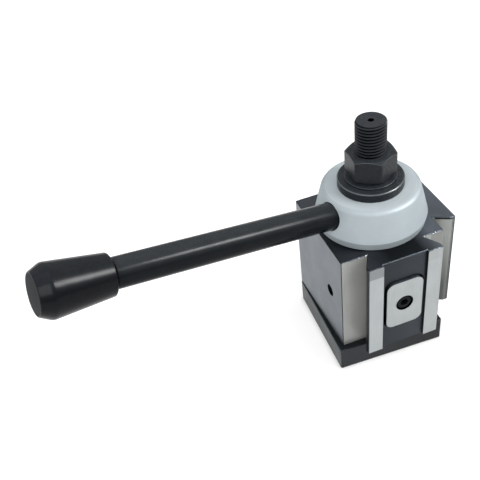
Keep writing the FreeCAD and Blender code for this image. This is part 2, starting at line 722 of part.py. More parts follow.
nut = new_body("stud_nut", "nut_base", "nut_turn")
hexes = sketch_on(nut, "nut_hexagon", "XY_Plane", "nut_boss_tall")
hexagon(hexes, "nut_radius")
extrude(nut, "Pad", "nut_prism", hexes, "nut_tall - nut_boss_tall")
section = sketch_on(nut, "nut_slant_profile", "XZ_Plane")
polygon(section, [
    ("nut_slant_dia / 2", "nut_tall"),
    ("nut_radius", "nut_tall - (nut_radius - nut_slant_dia / 2) * tan(nut_slant)"),
    ("nut_radius", "nut_tall"),
])
polygon(section, [
    ("nut_slant_dia / 2", "nut_boss_tall"),
    ("nut_radius", "nut_boss_tall"),
    ("nut_radius", "nut_boss_tall + (nut_radius - nut_slant_dia / 2) * tan(nut_slant)"),
])
turned(nut, "Groove", "nut_slants", section)
ring = sketch_on(nut, "nut_boss_circle", "XY_Plane")
circle(ring, "nut_boss_dia")
extrude(nut, "Pad", "nut_boss", ring, "nut_boss_tall")
section = sketch_on(nut, "nut_bore_profile", "XZ_Plane")
polygon(section, [
    ("0", "0"),
    ("stud_radius + running_gap", "0"),
    ("stud_radius + running_gap", "nut_tall - nut_mouth"),
    ("stud_radius + running_gap + nut_mouth", "nut_tall"),
    ("0", "nut_tall"),
])
turned(nut, "Groove", "nut_bore", section)

doc.recompute()
for item in doc.Objects:
    if "Invalid" in item.State or "Error" in item.State:
        raise RuntimeError("%s: %s" % (item.Name, item.State))
for body in bodies:
    if body.Shape.isNull() or not body.Shape.isValid() or len(body.Shape.Solids) != 1:
        raise RuntimeError(body.Label + " is not one valid solid")
for body in bodies:
    body.Shape.exportStep("parts/%s.step" % body.Label)
    box = body.Shape.BoundBox
    print("%-20s volume %9.1f  x %.2f..%.2f  y %.2f..%.2f  z %.2f..%.2f" % (
        body.Label, body.Shape.Volume, box.XMin, box.XMax, box.YMin, box.YMax, box.ZMin, box.ZMax))
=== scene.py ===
import math

import bmesh
import bpy
from bpy.props import FloatProperty, FloatVectorProperty, IntProperty, PointerProperty
from bpy.types import Operator, Panel, PropertyGroup
from mathutils import Matrix, Vector


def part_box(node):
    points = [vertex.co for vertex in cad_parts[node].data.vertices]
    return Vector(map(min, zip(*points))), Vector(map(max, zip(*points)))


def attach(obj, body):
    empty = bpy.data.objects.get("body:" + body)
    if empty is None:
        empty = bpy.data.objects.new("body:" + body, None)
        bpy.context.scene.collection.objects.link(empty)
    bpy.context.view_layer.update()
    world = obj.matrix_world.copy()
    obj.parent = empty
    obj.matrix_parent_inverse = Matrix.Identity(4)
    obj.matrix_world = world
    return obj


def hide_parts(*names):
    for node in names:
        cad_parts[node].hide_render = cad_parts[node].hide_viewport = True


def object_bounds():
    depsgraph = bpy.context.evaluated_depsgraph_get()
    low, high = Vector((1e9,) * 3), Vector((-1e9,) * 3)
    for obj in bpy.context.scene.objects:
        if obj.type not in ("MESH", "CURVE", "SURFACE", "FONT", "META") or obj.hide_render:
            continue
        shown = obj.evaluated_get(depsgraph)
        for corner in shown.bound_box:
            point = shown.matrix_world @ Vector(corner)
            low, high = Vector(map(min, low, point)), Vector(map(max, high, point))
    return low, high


bl_info = {
    "name": "Quick change tool post",
    "version": (1, 0, 0),
    "blender": (4, 5, 0),
    "location": "View3D > Sidebar > Tool Post",
    "description": "Dresses the packed tool post with its thread, handle, finishes and studio",
    "category": "Object",
}

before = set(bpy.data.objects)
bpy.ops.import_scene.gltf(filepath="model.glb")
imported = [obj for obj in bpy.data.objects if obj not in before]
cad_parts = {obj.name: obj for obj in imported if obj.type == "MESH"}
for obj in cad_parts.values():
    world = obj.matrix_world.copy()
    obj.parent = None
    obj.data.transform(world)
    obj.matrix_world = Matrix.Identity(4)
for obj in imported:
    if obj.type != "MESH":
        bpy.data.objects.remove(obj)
CAD_BOX = [list(corner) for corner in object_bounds()]

MM = 0.001
BLOCK_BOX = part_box("post_block")
STUD_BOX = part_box("stud")
COLLAR_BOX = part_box("top_collar")
WASHER_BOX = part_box("nut_washer")
NUT_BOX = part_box("stud_nut")
FRONT_PAD_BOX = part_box("front_pad")


def length(name, text, default):
    """Size in metres that a user may change."""
    return FloatProperty(name=name, description=text, default=default, unit="LENGTH", precision=5)


def tint(name, text, default):
    """Linear colour that a user may change."""
    return FloatVectorProperty(name=name, description=text, default=default, subtype="COLOR",
                               min=0.0, max=1.0, size=3)


def screen_colour(red, green, blue):
    """Linear colour of an 8 bit screen colour."""
    parts = []
    for part in (red, green, blue):
        share = part / 255
        parts.append(share / 12.92 if share <= 0.04045 else ((share + 0.055) / 1.055) ** 2.4)
    return tuple(parts)


# Sizes and colours


class ThreadSizes(PropertyGroup):
    pitch: length("Pitch", "Rise of the thread in one turn", 1.75 * MM)
    depth: length("Depth", "Radial depth of the thread", 1.0 * MM)
    crest: FloatProperty(name="Crest", description="Share of the pitch that is flat crest",
                         default=0.2, min=0.05, max=0.5, subtype="FACTOR")
    root: FloatProperty(name="Root", description="Share of the pitch that is flat root",
                        default=0.2, min=0.05, max=0.5, subtype="FACTOR")
    start: length("Start", "Height where the thread begins on the stud", 0.096)
    bevel: length("End bevel", "Bevel at the free end of the stud", 0.45 * MM)
    mark_radius: length("Centre mark", "Radius of the centre drilling", 1.6 * MM)
    mark_depth: length("Centre mark depth", "Depth of its straight part", 3.6 * MM)
    segments: IntProperty(name="Segments", description="Columns round the thread", default=96, min=24)


class NutSizes(PropertyGroup):
    flats: length("Across flats", "Width of the nut across its flats", 23.2 * MM)
    boss_radius: length("Washer face", "Radius of the nut's washer face", 10.7 * MM)
    boss_height: length("Washer face height", "Height of that face", 1.5 * MM)
    slant_radius: length("Bevel circle", "Radius where the corner bevels start", 11.2 * MM)
    corner_radius: length("Corner", "Rounding of the nut's corners", 0.8 * MM)
    mouth: length("Mouth", "Countersink of the nut's thread", 0.7 * MM)
    bore: length("Bore", "Radius of the nut's bore", 8.05 * MM)
    angle: FloatProperty(name="Angle", description="Direction of one corner about the stud",
                         default=math.radians(27.0), subtype="ANGLE")


class HandleSizes(PropertyGroup):
    bearing: FloatProperty(name="Bearing", description="Direction of the handle about the stud",
                           default=math.radians(192.6), subtype="ANGLE")
    rise: FloatProperty(name="Rise", description="Rise of the handle",
                        default=math.radians(14.24), subtype="ANGLE")
    cross: length("Crossing", "Height where the handle's axis meets the stud's", 83.64 * MM)
    rod_radius: length("Rod radius", "Radius of the rod", 7.25 * MM)
    rod_seat: length("Rod seat", "Shoulder of the rod from the stud's axis", 25.0 * MM)
    spigot_radius: length("Spigot", "Radius of the rod's spigot", 4.0 * MM)
    spigot_tip: length("Spigot tip", "Inner end of the spigot", 11.08 * MM)
    joint_wide: length("Joint", "Width of the dark joint before the knob", 1.1 * MM)
    joint_deep: length("Joint depth", "Depth of that joint", 0.7 * MM)
    knob_start: length("Knob start", "Knob's rod end from the stud's axis", 149.0 * MM)
    knob_length: length("Knob length", "Length of the knob", 33.9 * MM)
    knob_small: length("Knob small radius", "Radius of the knob at the rod", 9.85 * MM)
    knob_large: length("Knob large radius", "Radius of the knob at its free end", 12.52 * MM)
    knob_slant: length("Knob bevel", "Length of the bevel at the free end", 5.6 * MM)
    knob_slant_depth: length("Knob bevel depth", "Radial depth of that bevel", 2.8 * MM)
    knob_round: length("Knob rounding", "Rounding between the taper and the bevel", 4.5 * MM)
    knob_rim: length("Knob rims", "Rounding of the knob's two rims", 0.9 * MM)
    tail_radius: length("Rod tail", "Radius of the rod's tail in the knob", 5.0 * MM)
    tail_length: length("Rod tail length", "Length of that tail", 18.0 * MM)
    tail_gap: length("Rod tail gap", "Gap between the tail's end and the knob", 0.1 * MM)


class PadSizes(PropertyGroup):
    corner: length("Corner", "Corner radius of a pad", 4.5 * MM)
    bevel: length("Bevel", "Bevel of a pad's edge", 0.35 * MM)
    seat_radius: length("Counterbore", "Radius of the counterbore", 4.65 * MM)
    seat_depth: length("Counterbore depth", "Depth of the counterbore", 5.4 * MM)
    hole_radius: length("Hole", "Radius of the screw's hole", 2.65 * MM)
    head_radius: length("Screw head", "Radius of the screw's head", 4.25 * MM)
    head_height: length("Screw head height", "Height of the screw's head", 5.0 * MM)
    shank_radius: length("Shank", "Radius of the screw's shank", 2.5 * MM)
    shank_length: length("Shank length", "Length of the screw's shank", 10.4 * MM)
    socket: length("Socket", "Width of the hexagon socket across its flats", 4.0 * MM)
    socket_depth: length("Socket depth", "Depth of that socket", 2.6 * MM)


class FinishColours(PropertyGroup):
    land: tint("Ground lands", "Ground lands of the dovetails", screen_colour(162, 166, 167))
    flank: tint("Milled flanks", "Flanks of the dovetails", screen_colour(146, 149, 146))
    flange: tint("Milled flanges", "Faces beside the dovetails", screen_colour(156, 157, 154))
    channel: tint("Channel", "Dark floor of the channels", screen_colour(46, 50, 54))
    side: tint("Plain sides", "Plain faces of the block", screen_colour(109, 115, 121))
    top: tint("Block top", "Black oxide top of the block", screen_colour(47, 50, 54))
    hub: tint("Hub", "Satin hub", screen_colour(174, 184, 189))
    # Painted light: the hub's flat top is paler than its wall.
    painted_light_hub_top: tint("Hub top", "Top of the hub", screen_colour(188, 198, 203))
    pad: tint("Pad", "Ground piston pad", screen_colour(160, 165, 165))
    black: tint("Black oxide", "Stud, nut, washer and collar", screen_colour(33, 36, 40))
    # Painted light: paler tone where the black oxide looks up.
    film: tint("Oxide film", "Paler film where the black oxide looks up", screen_colour(50, 54, 58))
    # Painted highlight on slanted faces of the black oxide.
    edge: tint("Worn edges", "Paler edges of the black oxide", screen_colour(96, 101, 104))
    rod: tint("Rod", "Black rod", screen_colour(22, 25, 28))
    rod_top_painted_light: tint("Rod film", "Paler upper side of the rod", screen_colour(54, 57, 60))
    knob: tint("Knob", "Black knob", screen_colour(14, 16, 19))
    knob_top_painted_light: tint("Knob film", "Paler upper side of the knob", screen_colour(36, 39, 43))
    knob_end: tint("Knob end", "Dull free end of the knob", screen_colour(34, 37, 40))
    # Paler tone of the blank's left side.
    blank: tint("Blank", "Worn left side of the T-nut blank", screen_colour(54, 61, 62))
    inner: tint("Inner steel", "Turned pieces inside the post", screen_colour(150, 152, 152))


class StudioSetup(PropertyGroup):
    eye: FloatVectorProperty(name="Camera", description="Place of the camera", size=3,
                             default=(-0.14188, -0.27175, 0.32733), subtype="TRANSLATION")
    turn: FloatVectorProperty(name="Camera turn", description="Rotation of the camera", size=3,
                              default=tuple(math.radians(a) for a in (49.2624, 6.4643, -19.6459)),
                              subtype="EULER")
    lens: FloatProperty(name="Lens", description="Focal length in millimetres", default=54.224,
                        unit="CAMERA")
    film: FloatProperty(name="Film", description="Width of the film in millimetres", default=36.0,
                        unit="CAMERA")
    near_limit: length("Near limit", "Distance where the camera starts to see", 0.01)
    aim: length("Aim", "Height on the stud's axis that the lamps aim at", 60.0 * MM)
    key_near: FloatVectorProperty(name="Key, near end", description="Near end of the strip lamp", size=3,
                                  default=(0.95, -0.33, 0.63), subtype="TRANSLATION")
    key_far: FloatVectorProperty(name="Key, far end", description="Far end of the strip lamp", size=3,
                                 default=(0.55, -0.60, 0.95), subtype="TRANSLATION")
    key_width: length("Key width", "Width of the strip lamp", 0.2)
    key: FloatProperty(name="Key", description="Power of the strip lamp", default=4.4, unit="POWER")
    glint: FloatProperty(name="Glint", description="Power of the strip that only reflections show",
                         default=43.0, unit="POWER")
    fill_place: FloatVectorProperty(name="Fill", description="Place of the fill lamp", size=3,
                                    default=(-0.60, -0.70, 0.80), subtype="TRANSLATION")
    fill_size: length("Fill size", "Side of the fill lamp", 0.7)
    fill: FloatProperty(name="Fill power", description="Power of the fill lamp", default=5.8, unit="POWER")
    sky: FloatProperty(name="Sky", description="Level of the soft light overhead", default=0.76)
    sky_low: FloatProperty(name="Sky, low", description="Level of that light at the horizon", default=0.32)
    floor: tint("Floor", "Pale floor", (0.76, 0.76, 0.76))
    floor_half: length("Floor size", "Half the side of the floor", 20.0)
    floor_drop: length("Floor drop", "Depth of the floor under the post", 0.2 * MM)
    contact: length("Contact shadow", "Width of the dark line under the post", 3.0 * MM)
    floor_glow: FloatProperty(name="Floor glow", description="White added where the floor is seen",
                              default=0.46)


# Mesh making


def loft(loops, cyclic=False):
    """Skin a row of point loops; a loop of one point closes to a tip."""
    shape = bmesh.new()
    rows = []
    for loop in loops:
        rows.append([shape.verts.new(point) for point in loop])
    pairs = list(zip(rows, rows[1:]))
    if cyclic:
        pairs.append((rows[-1], rows[0]))
    for lower, upper in pairs:
        skin(shape, lower, upper)
    bmesh.ops.recalc_face_normals(shape, faces=shape.faces)
    return shape


def skin(shape, lower, upper):
    """Faces between two rows of points, either of which may be a single tip."""
    columns = max(len(lower), len(upper))
    for step in range(columns):
        after = (step + 1) % columns
        corners = [lower[step % len(lower)], lower[after % len(lower)],
                   upper[after % len(upper)], upper[step % len(upper)]]
        corners = list(dict.fromkeys(corners))
        if len(corners) > 2:
            shape.faces.new(corners)


def around(radius, angle, height):
    """Point at a radius, an angle about Z and a height."""
    return Vector((radius * math.cos(angle), radius * math.sin(angle), height))


def ring(radius, height, columns):
    """Round loop of points about Z, or one point on the axis."""
    if radius < 1e-7:
        return [Vector((0.0, 0.0, height))]
    return [around(radius, math.tau * step / columns, height) for step in range(columns)]


def soften(profile, radius, steps=4, cyclic=False):
    """Round the corners of a half profile, all by one radius or each by its own."""
    count = len(profile)
    radii = radius if isinstance(radius, list) else [radius] * count
    points = [Vector(point) for point in profile]
    result = []
    for index, corner in enumerate(points):
        if not cyclic and index in (0, count - 1):
            result.append(corner)
            continue
        before = points[index - 1] - corner
        after = points[(index + 1) % count] - corner
        if min(before.length, after.length) < 1e-9 or before.angle(after) > 3.1:
            result.append(corner)
            continue
        reach = radii[index] / math.tan(before.angle(after) / 2)
        reach = min(reach, before.length * 0.45, after.length * 0.45)
        start = corner + before.normalized() * reach
        end = corner + after.normalized() * reach
        for step in range(steps + 1):
            share = step / steps
            near = start.lerp(corner, share)
            result.append(near.lerp(corner.lerp(end, share), share))
    return [tuple(point) for point in result]


def lathe(profile, columns, cyclic=False):
    """Spin a half profile of (radius, height) points about Z."""
    return loft([ring(radius, height, columns) for radius, height in profile], cyclic)


def make_piece(shape, name, body, finish, place=None, stands_for=(), crease=30.0):
    """Turn a bmesh into a smooth piece that rides on a body of the post."""
    mesh = bpy.data.meshes.new(name)
    if place is not None:
        shape.transform(place)
    shape.to_mesh(mesh)
    shape.free()
    mesh.shade_smooth()
    mesh.set_sharp_from_angle(angle=math.radians(crease))
    mesh.materials.append(finish)
    piece = bpy.data.objects.new(name, mesh)
    bpy.context.scene.collection.objects.link(piece)
    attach(piece, body)
    if stands_for:
        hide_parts(*stands_for)
    return piece


def handle_place(sizes):
    """Matrix that carries Z onto the handle's axis."""
    turn = Matrix.Rotation(sizes.bearing, 4, "Z")
    lean = Matrix.Rotation(math.pi / 2 - sizes.rise, 4, "Y")
    return Matrix.Translation((0.0, 0.0, sizes.cross)) @ turn @ lean


def polygon_corner(flats, sides, rounding):
    """Centre distance of a rounded corner's arc, and the angle to where the arc ends."""
    turn = math.pi / sides
    corner = (flats / 2 - rounding) / math.cos(turn)
    touch = math.atan2(rounding * math.sin(turn), corner + rounding * math.cos(turn))
    return corner, touch


def polygon_radius(flats, sides, rounding, angle):
    """Distance from the centre to a regular polygon with rounded corners."""
    sector = math.tau / sides
    aside = abs((angle + sector / 2) % sector - sector / 2)
    half = flats / 2
    corner, touch = polygon_corner(flats, sides, rounding)
    if aside < touch:
        return corner * math.cos(aside) + math.sqrt(rounding ** 2 - (corner * math.sin(aside)) ** 2)
    return half / math.cos(sector / 2 - aside)


def polygon_angles(sides, touch, corner_steps, side_steps):
    """Column angles that meet the corner arcs of a polygon exactly."""
    sector = math.tau / sides
    angles = []
    for side in range(sides):
        for step in range(corner_steps + 1):
            angles.append(side * sector - touch + 2 * touch * step / corner_steps)
        for step in range(1, side_steps):
            angles.append(side * sector + touch + (sector - 2 * touch) * step / side_steps)
    return angles


# Finishes


class Recipe:
    """Short ways to add nodes to the tree of a finish or of the sky."""

    def __init__(self, tree):
        self.nodes = tree.nodes
        self.links = tree.links

    def feed(self, source, target):
        """Wire an output to an input, or set the input to a plain value."""
        if isinstance(source, bpy.types.NodeSocket):
            self.links.new(source, target)
        elif hasattr(source, "__len__") and len(target.default_value) == 4:
            target.default_value = (*source, 1.0)[:4]
        else:
            target.default_value = source

    def reckon(self, operation, *values):
        """Math node; returns its result."""
        node = self.nodes.new("ShaderNodeMath")
        node.operation = operation
        for socket, value in zip(node.inputs, values):
            self.feed(value, socket)
        return node.outputs[0]

    def absolute(self, value):
        """Value without its sign."""
        return self.reckon("ABSOLUTE", value)

    def over(self, value, limit):
        """1 where a value is over a limit."""
        return self.reckon("GREATER_THAN", value, limit)

    def under(self, value, limit):
        """1 where a value is under a limit."""
        return self.reckon("LESS_THAN", value, limit)

    def both(self, *masks):
        """1 where every mask is 1."""
        result = masks[0]
        for mask in masks[1:]:
            result = self.reckon("MULTIPLY", result, mask)
        return result

    def spread(self, value, low, high, new_low, new_high):
        """Map one range onto another with its ends held."""
        node = self.nodes.new("ShaderNodeMapRange")
        for index, entry in enumerate((value, low, high, new_low, new_high)):
            self.feed(entry, node.inputs[index])
        return node.outputs[0]

    def blend(self, share, first, second, way="MIX"):
        """Mix of two colours; returns the colour."""
        node = self.nodes.new("ShaderNodeMix")
        node.data_type = "RGBA"
        node.blend_type = way
        for index, entry in ((0, share), (6, first), (7, second)):
            self.feed(entry, node.inputs[index])
        return node.outputs[2]

    def shade(self, colour, share, low, high):
        """Colour made darker and lighter by a 0 to 1 pattern."""
        level = self.spread(share, 0.3, 0.7, low, high)
        return self.blend(1.0, colour, self.joined(level, level, level), "MULTIPLY")

    def places(self):
        """Coordinates and normal of the surface in the piece's own frame."""
        coordinates = self.nodes.new("ShaderNodeTexCoord")
        return coordinates.outputs["Object"], coordinates.outputs["Normal"]

    def parts_of(self, vector):
        """The three parts of a vector."""
        node = self.nodes.new("ShaderNodeSeparateXYZ")
        self.feed(vector, node.inputs[0])
        return node.outputs[0], node.outputs[1], node.outputs[2]

    def joined(self, *parts):
        """Vector from three parts."""
        node = self.nodes.new("ShaderNodeCombineXYZ")
        for socket, value in zip(node.inputs, parts):
            self.feed(value, socket)
        return node.outputs[0]

    def turned(self, vector):
        """Radius and height about Z as a vector, for marks that run round."""
        across, along, up = self.parts_of(vector)
        square = self.reckon("ADD", self.reckon("MULTIPLY", across, across),
                             self.reckon("MULTIPLY", along, along))
        return self.joined(self.reckon("SQRT", square), up, 0.0)

    def outward(self, lean_x, lean_y):
        """1 where a surface looks straight out along -Y or +X."""
        lean = self.reckon("MAXIMUM", self.reckon("MULTIPLY", lean_y, -1.0), lean_x)
        return self.over(lean, 0.95)

    def grain(self, vector, stretch, detail=3.0):
        """Noise of a given count per metre along each axis; returns 0 to 1."""
        mapping = self.nodes.new("ShaderNodeMapping")
        self.feed(vector, mapping.inputs["Vector"])
        mapping.inputs["Scale"].default_value = stretch
        noise = self.nodes.new("ShaderNodeTexNoise")
        for name, value in (("Scale", 1.0), ("Detail", detail), ("Roughness", 0.6)):
            noise.inputs[name].default_value = value
        self.feed(mapping.outputs[0], noise.inputs["Vector"])
        return noise.outputs["Fac"]

    def relief(self, shader, level, depth):
        """Bump of a given depth in metres."""
        bump = self.nodes.new("ShaderNodeBump")
        bump.inputs["Strength"].default_value = 1.0
        bump.inputs["Distance"].default_value = depth
        self.feed(level, bump.inputs["Height"])
        self.feed(bump.outputs[0], shader.inputs["Normal"])


def new_finish(name, colour, metallic, roughness, gloss=0.5):
    """Plain material of one colour, metal, roughness and gloss; returns its recipe and shader."""
    material = bpy.data.materials.new(name)
    material.use_nodes = True
    shader = material.node_tree.nodes["Principled BSDF"]
    shader.inputs["Base Color"].default_value = (*colour, 1.0)
    shader.inputs["Metallic"].default_value = metallic
    shader.inputs["Roughness"].default_value = roughness
    shader.inputs["Specular IOR Level"].default_value = gloss
    return Recipe(material.node_tree), shader


def lighter(colour, share):
    """Colour times a share, held below white."""
    return [min(1.0, part * share) for part in colour]


def block_faces(recipe, where, lean):
    """Masks, each 1 on one kind of face of the block, by its place and by where it looks."""
    across, along, up = where
    lean_x, lean_y, lean_z = lean
    lands, plain_left = BLOCK_BOX[1].x, BLOCK_BOX[0].x
    plain_rear, top = BLOCK_BOX[1].y, BLOCK_BOX[1].z
    channel_depth, land_depth, tip_depth = 1.5 * MM, 0.55 * MM, 2.85 * MM
    flank_start, flank_half = 28.0 * MM, 14.5 * MM
    pocket_start, pocket_half = 30.0 * MM, 12.5 * MM
    side_flank_start, side_tip, dark_band = 29.0 * MM, 38.0 * MM, 1.4 * MM
    inner_left, inner_half = -18.0 * MM, 20.0 * MM
    edge_line, face_margin, top_margin = 0.35 * MM, 0.75 * MM, 0.6 * MM

    front = recipe.reckon("MULTIPLY", along, -1.0)
    reach = recipe.reckon("MAXIMUM", front, across)
    beside = recipe.absolute(recipe.reckon("MINIMUM", front, across))
    facing = recipe.outward(lean_x, lean_y)
    toward_front = recipe.under(lean_y, -0.2)
    at_top = recipe.over(up, top - top_margin)
    at_channel = recipe.reckon("COMPARE", reach, lands - channel_depth, 0.2 * MM)
    # Dark band on front-facing faces near the side dovetail: along their top and over its tip.
    band = recipe.reckon("MAXIMUM", recipe.over(across, side_tip), recipe.over(up, top - dark_band))
    both, over, under = recipe.both, recipe.over, recipe.under
    return {
        "flank": both(over(reach, flank_start), over(beside, flank_half)),
        "tip": over(front, lands - tip_depth),
        "channel": both(facing, at_channel),
        "land": both(facing, over(reach, lands - land_depth)),
        # Painted shade darkens the inside of the bore behind the left face.
        "bore": both(under(across, inner_left), under(recipe.absolute(along), inner_half)),
        "corner": both(under(across, plain_left + edge_line), toward_front),
        "flank_rim": both(band, over(across, side_flank_start), toward_front),
        "left": both(under(lean_x, -0.9), under(across, plain_left + face_margin)),
        "rear": both(over(lean_y, 0.9), over(along, plain_rear - face_margin)),
        # Painted shade in the gap of the pocket round the piston pad.
        "shaded_pocket": both(over(reach, pocket_start), under(beside, pocket_half),
                       under(reach, lands - channel_depth - 0.15 * MM)),
        "top": both(over(lean_z, 0.95), at_top),
        "rim": both(over(lean_z, 0.3), under(lean_z, 0.95), at_top),
    }


def block_tones(recipe, where, place, colours):
    """Colour of each kind of face of the block, with painted light, shade and reflection on several of
    them.
    """
    across, along, up = where
    strip_low, strip_edge, strip_gap = 70.2 * MM, 0.2 * MM, 12.5 * MM
    side_start, flank_shade_low, flank_shade_high = 28.0 * MM, 30.0 * MM, 65.0 * MM
    shade_middle, shade_near, shade_far = 2.0 * MM, 8.0 * MM, 18.0 * MM

    beside = recipe.reckon("MINIMUM", recipe.reckon("MULTIPLY", along, -1.0), across)
    # Painted reflection: the lands turn darker above this height, much more on the left land than on the
    # right.
    painted_reflection_tone = recipe.blend(recipe.over(beside, 0.0), lighter(colours.land, 0.62),
                              lighter(colours.land, 0.94))
    strip = recipe.spread(up, strip_low, strip_low + strip_edge, 0.0, 1.0)
    # Painted light: the channel floor grows lighter towards the right.
    channel_painted_light = recipe.spread(beside, -10.0 * MM, 12.0 * MM, 0.0, 1.0)
    # Painted shade: the side dovetail's flank darkens towards its lower part.
    flank_painted_shade = recipe.both(recipe.over(across, side_start),
                       recipe.spread(up, flank_shade_low, flank_shade_high, 1.0, 0.0))
    # Painted light and shade on the block's top: lighter towards the rear and right, and a painted shade
    # darker over the middle, next to the hub.
    rearward = recipe.spread(recipe.reckon("ADD", across, along), -45.0 * MM, -20.0 * MM, 0.0, 1.0)
    top_with_painted_light = recipe.blend(rearward, colours.top, lighter(colours.top, 3.2))
    aside = recipe.absolute(recipe.reckon("SUBTRACT", across, shade_middle))
    clear_of_painted_shade = recipe.spread(aside, shade_near, shade_far, 0.0, 1.0)
    chips = recipe.spread(recipe.grain(place, (1400.0, 1400.0, 1400.0), 2.0), 0.60, 0.68, 0.0, 1.0)
    chip_tone = recipe.blend(chips, colours.channel, lighter(colours.land, 0.6))
    chipped = recipe.over(recipe.absolute(beside), strip_gap)
    return {
        "flank": recipe.blend(flank_painted_shade, colours.flank, lighter(colours.flank, 0.42)),
        "tip": colours.channel,
        "channel": recipe.blend(channel_painted_light, colours.channel, lighter(colours.channel, 1.45)),
        "land": recipe.blend(strip, colours.land, painted_reflection_tone),
        # Painted shade inside the bore.
        "bore": lighter(colours.channel, 0.4),
        "corner": colours.channel,
        "flank_rim": lighter(colours.channel, 0.5),
        "left": colours.side,
        "rear": colours.side,
        "shaded_pocket": lighter(colours.channel, 0.5),
        "top": recipe.blend(clear_of_painted_shade, lighter(colours.top, 0.33), top_with_painted_light),
        "rim": recipe.blend(chipped, colours.channel, chip_tone),
    }


def block_finish(colours):
    """Steel of the dovetail block: milled, ground or black by the kind of face, with painted light and
    shade on several faces.
    """
    recipe, shader = new_finish("block_steel", colours.side, 1.0, 0.4)
    place, normal = recipe.places()
    where, lean = recipe.parts_of(place), recipe.parts_of(normal)
    across, along, _ = where
    faces = block_faces(recipe, where, lean)
    tones = block_tones(recipe, where, place, colours)
    shaded_right_flange, front_flange = 20.5 * MM, -35.0 * MM

    tall_marks = recipe.grain(place, (3500.0, 3500.0, 60.0))
    cross_marks = recipe.grain(place, (90.0, 90.0, 3200.0))
    clouds = recipe.grain(place, (70.0, 70.0, 70.0), 4.0)

    # Painted shade: faces beside the dovetails are darker past this line to the right.
    tone = recipe.blend(recipe.over(across, shaded_right_flange), colours.flange,
                        lighter(colours.flange, 0.7))
    for face, mask in faces.items():
        tone = recipe.blend(mask, tone, tones[face])
    tone = recipe.shade(tone, clouds, 0.94, 1.06)
    tone = recipe.shade(tone, tall_marks, 0.95, 1.05)
    recipe.feed(tone, shader.inputs["Base Color"])

    flange = recipe.both(recipe.under(lean[1], -0.9), recipe.over(along, front_flange))
    recipe.feed(recipe.spread(flange, 0.0, 1.0, 1.0, 0.4), shader.inputs["Metallic"])
    rough = recipe.spread(clouds, 0.3, 0.7, 0.32, 0.44)
    rough = recipe.reckon("ADD", rough, recipe.reckon("MULTIPLY", faces["top"], 0.14))
    recipe.feed(rough, shader.inputs["Roughness"])
    marks = recipe.reckon("ADD", recipe.reckon("MULTIPLY", tall_marks, 0.6),
                          recipe.reckon("MULTIPLY", cross_marks, 0.6))
    recipe.relief(shader, marks, 0.000012)


def steel_finish(name, colour, metallic, roughness, stretch, depth, swing):
    """Turned steel with fine tool marks and a little uneven tone."""
    recipe, shader = new_finish(name, colour, metallic, roughness)
    place, _ = recipe.places()
    marks = recipe.grain(recipe.turned(place), stretch)
    clouds = recipe.grain(place, (90.0, 90.0, 90.0), 4.0)
    tone = recipe.shade(colour, clouds, 1.0 - swing, 1.0 + swing)
    tone = recipe.shade(tone, marks, 1.0 - swing / 2, 1.0 + swing / 2)
    recipe.feed(tone, shader.inputs["Base Color"])
    uneven = recipe.reckon("ADD", clouds, marks)
    recipe.feed(recipe.spread(uneven, 0.6, 1.4, roughness - 0.06, roughness + 0.08),
                shader.inputs["Roughness"])
    recipe.relief(shader, marks, depth)


def pad_finish(colours):
    """Ground face of a piston pad with black edges and painted shade, in black, inside its counterbore."""
    recipe, shader = new_finish("pad_ground", colours.pad, 1.0, 0.34)
    place, normal = recipe.places()
    lean_x, lean_y, _ = recipe.parts_of(normal)
    across, along, up = recipe.parts_of(place)
    hole_half = 5.1 * MM
    level = (FRONT_PAD_BOX[0].z + FRONT_PAD_BOX[1].z) / 2
    marks = recipe.grain(place, (3000.0, 3000.0, 80.0))
    clouds = recipe.grain(place, (160.0, 160.0, 160.0), 4.0)
    beside = recipe.reckon("MINIMUM", recipe.absolute(across), recipe.absolute(along))
    from_level = recipe.absolute(recipe.reckon("SUBTRACT", up, level))
    # Painted shade: the counterbore's walls and floor are black.
    hole = recipe.both(recipe.under(beside, hole_half), recipe.under(from_level, hole_half))
    side = recipe.blend(hole, lighter(colours.channel, 1.6), (0.0, 0.0, 0.0))
    tone = recipe.blend(recipe.outward(lean_x, lean_y), side, colours.pad)
    tone = recipe.shade(recipe.shade(tone, clouds, 0.95, 1.05), marks, 0.95, 1.05)
    recipe.feed(tone, shader.inputs["Base Color"])
    recipe.feed(recipe.spread(clouds, 0.3, 0.7, 0.3, 0.4), shader.inputs["Roughness"])
    recipe.relief(shader, marks, 0.00001)


def hub_finish(colours):
    """Satin plating of the hub, with painted light that makes its flat top paler and painted shade that
    darkens its underside.
    """
    recipe, shader = new_finish("hub_satin", colours.hub, 0.1, 0.45, 0.1)
    place, normal = recipe.places()
    _, _, lean_z = recipe.parts_of(normal)
    marks = recipe.grain(recipe.turned(place), (2600.0, 2600.0, 1.0))
    clouds = recipe.grain(place, (90.0, 90.0, 90.0), 4.0)
    # Painted light: faces that look straight up take the paler hub top colour.
    tone = recipe.blend(recipe.over(lean_z, 0.98), colours.hub, colours.painted_light_hub_top)
    # Painted shade: faces that look down take a darker hub colour.
    tone = recipe.blend(recipe.under(lean_z, -0.1), tone, lighter(colours.hub, 0.85))
    tone = recipe.shade(recipe.shade(tone, clouds, 0.96, 1.04), marks, 0.98, 1.02)
    recipe.feed(tone, shader.inputs["Base Color"])
    recipe.feed(recipe.spread(clouds, 0.3, 0.7, 0.5, 0.6), shader.inputs["Roughness"])
    recipe.relief(shader, marks, 0.000006)


